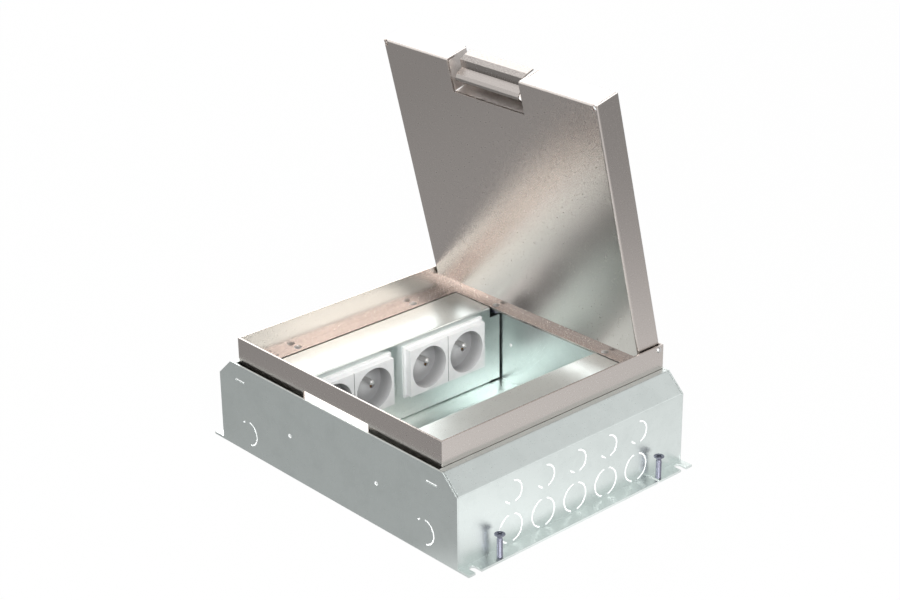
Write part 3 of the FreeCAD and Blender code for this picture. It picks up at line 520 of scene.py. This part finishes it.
def domedScrews(node, name, spots):
    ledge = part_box(node)[1].z - domedScrew["headHeight"]
    pattern = oneDome(spots["length"])
    copies = []
    for x in spots["xs"]:
        for y in spots["ys"]:
            turn = Quaternion((0, 0, 1), domedScrew["turnAlongX"] * x + domedScrew["turnAlongY"] * y)
            copies.append(placed(pattern, (x, y, ledge), turn))
    bpy.data.objects.remove(pattern)
    screws = joinAll(copies)
    screws.name = name
    settle(screws, finishes["domed"], "rim")
    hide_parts(node)


domedScrews("height_screws", "domed_height_screws", heightScrews)
domedScrews("rear_ledge_screws", "domed_ledge_screws", ledgeScrews)
print("domed screws set in the rim")


# Painted highlights: bright strips in the slits round the knock-outs, in the slots and in the small holes,
# standing in for the glint of their sheared metal

knockouts = {
    "sideFace": 0.1526,
    "endFace": 0.130,
    "deep": 0.0002,
    "thick": 0.0005,
    "slit": 0.00146,
    "pitch": 0.0363,
    "columns": (-2, -1, 0, 1, 2),
    "low": {"radius": 0.0126, "height": 0.0162, "shift": 0, "arcs": ((-78, 150), (100, 150))},
    "high": {"radius": 0.0098, "height": 0.0484, "shift": 0.0024, "arcs": ((-75, 160), (215, 35))},
    "end": {"radius": 0.011, "height": 0.0196, "place": 0.114, "arcs": ((-80, 165), (118, 14))},
    "hole": {"radius": 0.0015, "height": 0.0394, "place": 0.056, "width": 0.0009, "arcs": ((0, 360),)},
    "bar": {"size": (0.013, 0.0005, 0.0011), "place": 0.1233, "height": 0.0668, "deep": 0.0007},
    "degreesPerStep": 7,
    "weld": 0.00001,
}
sideTurn = Quaternion((0.5, 0.5, 0.5, 0.5))
endTurn = Quaternion((1, 0, 0), math.radians(90))


def arcStrip(radius, width, thick, sweep):
    # a flat strip bent round Z from the X axis, its outer face at zero
    deselectAll()
    bpy.ops.mesh.primitive_plane_add(size=1, location=(radius, 0, -thick / 2),
                                     rotation=(math.radians(90), 0, 0))
    strip = bpy.context.object
    strip.scale = (width, thick, 1)
    bpy.ops.object.transform_apply(location=True, rotation=True, scale=True)
    winding = strip.modifiers.new("winding", "SCREW")
    winding.axis = "Z"
    winding.angle = math.radians(sweep)
    winding.steps = max(2, int(sweep / knockouts["degreesPerStep"]))
    winding.render_steps = winding.steps
    winding.use_normal_calculate = True
    winding.use_merge_vertices = sweep >= 360
    winding.merge_threshold = knockouts["weld"]
    applyModifiers(strip)
    return strip


def paintedGlintArcs(kind, centres, turn):
    # one strip for each arc of a kind of opening, at each of its centres
    copies = []
    for first, sweep in kind["arcs"]:
        strip = arcStrip(kind["radius"], kind.get("width", knockouts["slit"]), knockouts["thick"], sweep)
        for centre in centres:
            copies.append(placed(strip, centre, turn @ Quaternion((0, 0, 1), math.radians(first))))
        bpy.data.objects.remove(strip)
    return joinAll(copies)


def paintedGlintBar(centre, size):
    # a thin bar that fills a straight slot
    deselectAll()
    bpy.ops.mesh.primitive_cube_add(size=1, location=centre)
    bar = bpy.context.object
    bar.scale = size
    bpy.ops.object.transform_apply(location=True, rotation=True, scale=True)
    return bar


# painted highlight strips for every slit, slot and small hole on both sides and both ends
def paintGlintsInSlits():
    rows = knockouts
    parts = []
    for side in (-1, 1):
        x = side * (rows["sideFace"] - rows["deep"])
        if side < 0:
            x += rows["thick"]
        for row in (rows["low"], rows["high"]):
            centres = [(x, step * rows["pitch"] + row["shift"], row["height"]) for step in rows["columns"]]
            parts.append(paintedGlintArcs(row, centres, sideTurn))
    for end in (-1, 1):
        y = end * (rows["endFace"] - rows["deep"])
        if end > 0:
            y -= rows["thick"]
        for row in (rows["end"], rows["hole"]):
            centres = [(sign * row["place"], y, row["height"]) for sign in (-1, 1)]
            parts.append(paintedGlintArcs(row, centres, endTurn))
        bar = rows["bar"]
        inside = end * (rows["endFace"] - bar["deep"])
        for sign in (-1, 1):
            parts.append(paintedGlintBar((sign * bar["place"], inside, bar["height"]), bar["size"]))
    edges = joinAll(parts)
    edges.name = "sheared_edges"
    settle(edges, paintedGlintStrips(), "box")


paintGlintsInSlits()
print("sheared edges put in the slits")


# Floor, sky, lamps and camera

studio = {
    "floorSize": 24,
    "floorHeight": -0.0004,
    "floorColour": (0.8, 0.8, 0.8, 1),
    "floorRough": 0.9,
    "floorShow": 0.97,
    "glowAlong": (0.74, 0.67, 0),
    "glow": ((-0.45, 0.39), (-0.33, 0.44), (-0.02, 0.46), (0.1, 1.2),
             (0.2, 0.98), (0.4, 0.88), (0.68, 0.54), (1.0, 0.38)),
    "glowFrom": -0.5,
    "glowTo": 1.1,
    "glowTop": 1.25,
    "skyForLight": 0.62,
    "skyLow": 1.2,
    "skyHigh": 0.42,
    "skyFrom": 0.40,
    "skyTo": 0.78,
}
lampAim = (0, 0, 0.1)
lamps = {
    "topLamp": {"place": (-1.15, -0.45, 1.6), "size": (1.2, 1.2), "power": 4.5, "shade": (1, 1, 1)},
    "upperLeftLamp": {"place": (-1.45, 0.8, 1.75), "size": (0.8, 0.8), "power": 5, "shade": (1, 1, 1)},
    "rearLeftLamp": {"place": (-1.71, 1.29, 0.9), "size": (1.0, 1.0), "power": 7, "shade": (1, 0.99, 0.97)},
    "rightLamp": {"place": (1.7, -0.4, 1.0), "size": (0.8, 0.8), "power": 7, "shade": (1, 1, 1)},
    "frontLamp": {"place": (1.85, -1.6, 1.0), "size": (1.7, 2.0), "power": 64, "shade": (1, 1, 1)},
}
view = {
    "place": (1.1392, -1.0265, 0.8275),
    "direction": (-0.67745, 0.61224, -0.40770),
    "roll": -0.657,
    "lens": 79.75,
    "sensor": 36,
    "nearest": 0.01,
}


def floorGlow(finish):
    # the brightness that metal mirrors from the floor, in bands along one direction
    place = addNode(finish, "ShaderNodeTexCoord")
    along = addNode(finish, "ShaderNodeVectorMath")
    along.operation = "DOT_PRODUCT"
    along.inputs[1].default_value = studio["glowAlong"]
    wire(finish, place, "Object", along, 0)
    start, end = studio["glowFrom"], studio["glowTo"]
    across = addNode(finish, "ShaderNodeMapRange", {"From Min": start, "From Max": end})
    wire(finish, along, "Value", across, "Value")
    level = addNode(finish, "ShaderNodeValToRGB")
    stops = level.color_ramp.elements
    for number, (spot, value) in enumerate(studio["glow"]):
        stop = stops[number] if number < 2 else stops.new(1)
        stop.position = (spot - start) / (end - start)
        grey = value / studio["glowTop"]
        stop.color = (grey, grey, grey, 1)
    wire(finish, across, "Result", level, "Fac")
    mirrored = addNode(finish, "ShaderNodeEmission", {"Strength": studio["glowTop"]})
    wire(finish, level, "Color", mirrored, "Color")
    return mirrored


def paleFloor():
    # white to the camera but for a faint shadow, banded to metal and pale to all other light
    deselectAll()
    bpy.ops.mesh.primitive_plane_add(size=studio["floorSize"], location=(0, 0, studio["floorHeight"]))
    floor = bpy.context.object
    floor.name = "studioFloor"
    finish, shader = newFinish("paleFloor")
    shader.inputs["Base Color"].default_value = studio["floorColour"]
    shader.inputs["Roughness"].default_value = studio["floorRough"]
    rays = addNode(finish, "ShaderNodeLightPath")
    white = addNode(finish, "ShaderNodeEmission", {"Color": (1, 1, 1, 1), "Strength": 1})
    glossy = addNode(finish, "ShaderNodeMixShader")
    wire(finish, rays, "Is Glossy Ray", glossy, "Fac")
    wire(finish, shader, "BSDF", glossy, 1)
    wire(finish, floorGlow(finish), "Emission", glossy, 2)
    seen = addNode(finish, "ShaderNodeMath")
    seen.operation = "MULTIPLY"
    seen.inputs[1].default_value = studio["floorShow"]
    wire(finish, rays, "Is Camera Ray", seen, 0)
    shown = addNode(finish, "ShaderNodeMixShader")
    wire(finish, seen, "Value", shown, "Fac")
    wire(finish, glossy, "Shader", shown, 1)
    wire(finish, white, "Emission", shown, 2)
    output = finish.node_tree.nodes["Material Output"]
    wire(finish, shown, "Shader", output, "Surface")
    floor.data.materials.append(finish)


def paleSky():
    # white to the camera; metal sees it bright near the horizon and darker overhead
    world = bpy.data.worlds.new("paleSky")
    bpy.context.scene.world = world
    world.use_nodes = True
    tree = world.node_tree
    back = tree.nodes["Background"]
    back.inputs["Color"].default_value = (1, 1, 1, 1)
    rays = tree.nodes.new("ShaderNodeLightPath")
    way = tree.nodes.new("ShaderNodeTexCoord")
    height = tree.nodes.new("ShaderNodeSeparateXYZ")
    tree.links.new(way.outputs["Generated"], height.inputs["Vector"])
    mirrored = tree.nodes.new("ShaderNodeMapRange")
    limits = {"From Min": "skyFrom", "From Max": "skyTo", "To Min": "skyLow", "To Max": "skyHigh"}
    for key, value in limits.items():
        mirrored.inputs[key].default_value = studio[value]
    tree.links.new(height.outputs["Z"], mirrored.inputs["Value"])
    glossy = tree.nodes.new("ShaderNodeMix")
    glossy.inputs[2].default_value = studio["skyForLight"]
    tree.links.new(rays.outputs["Is Glossy Ray"], glossy.inputs[0])
    tree.links.new(mirrored.outputs["Result"], glossy.inputs[3])
    seen = tree.nodes.new("ShaderNodeMix")
    seen.inputs[3].default_value = 1
    tree.links.new(rays.outputs["Is Camera Ray"], seen.inputs[0])
    tree.links.new(glossy.outputs[0], seen.inputs[2])
    tree.links.new(seen.outputs[0], back.inputs["Strength"])


def softLamp(name, settings):
    lamp = bpy.data.lights.new(name, "AREA")
    lamp.shape = "RECTANGLE"
    lamp.size, lamp.size_y = settings["size"]
    lamp.energy = settings["power"]
    lamp.color = settings["shade"]
    holder = bpy.data.objects.new(name, lamp)
    bpy.context.scene.collection.objects.link(holder)
    place = Vector(settings["place"])
    holder.location = place
    holder.rotation_euler = (Vector(lampAim) - place).to_track_quat("-Z", "Y").to_euler()


def photoCamera():
    lens = bpy.data.cameras.new("photoCamera")
    lens.lens = view["lens"]
    lens.sensor_width = view["sensor"]
    lens.clip_start = view["nearest"]
    holder = bpy.data.objects.new("photoCamera", lens)
    bpy.context.scene.collection.objects.link(holder)
    level = Vector(view["direction"]).to_track_quat("-Z", "Y")
    holder.rotation_mode = "QUATERNION"
    holder.rotation_quaternion = level @ Quaternion((0, 0, 1), math.radians(view["roll"]))
    holder.location = view["place"]
    bpy.context.scene.camera = holder


paleFloor()
paleSky()
for lampName, lampSettings in lamps.items():
    softLamp(lampName, lampSettings)
photoCamera()
bpy.context.scene.view_settings.view_transform = "Standard"
print("floor, sky, lamps and camera set")
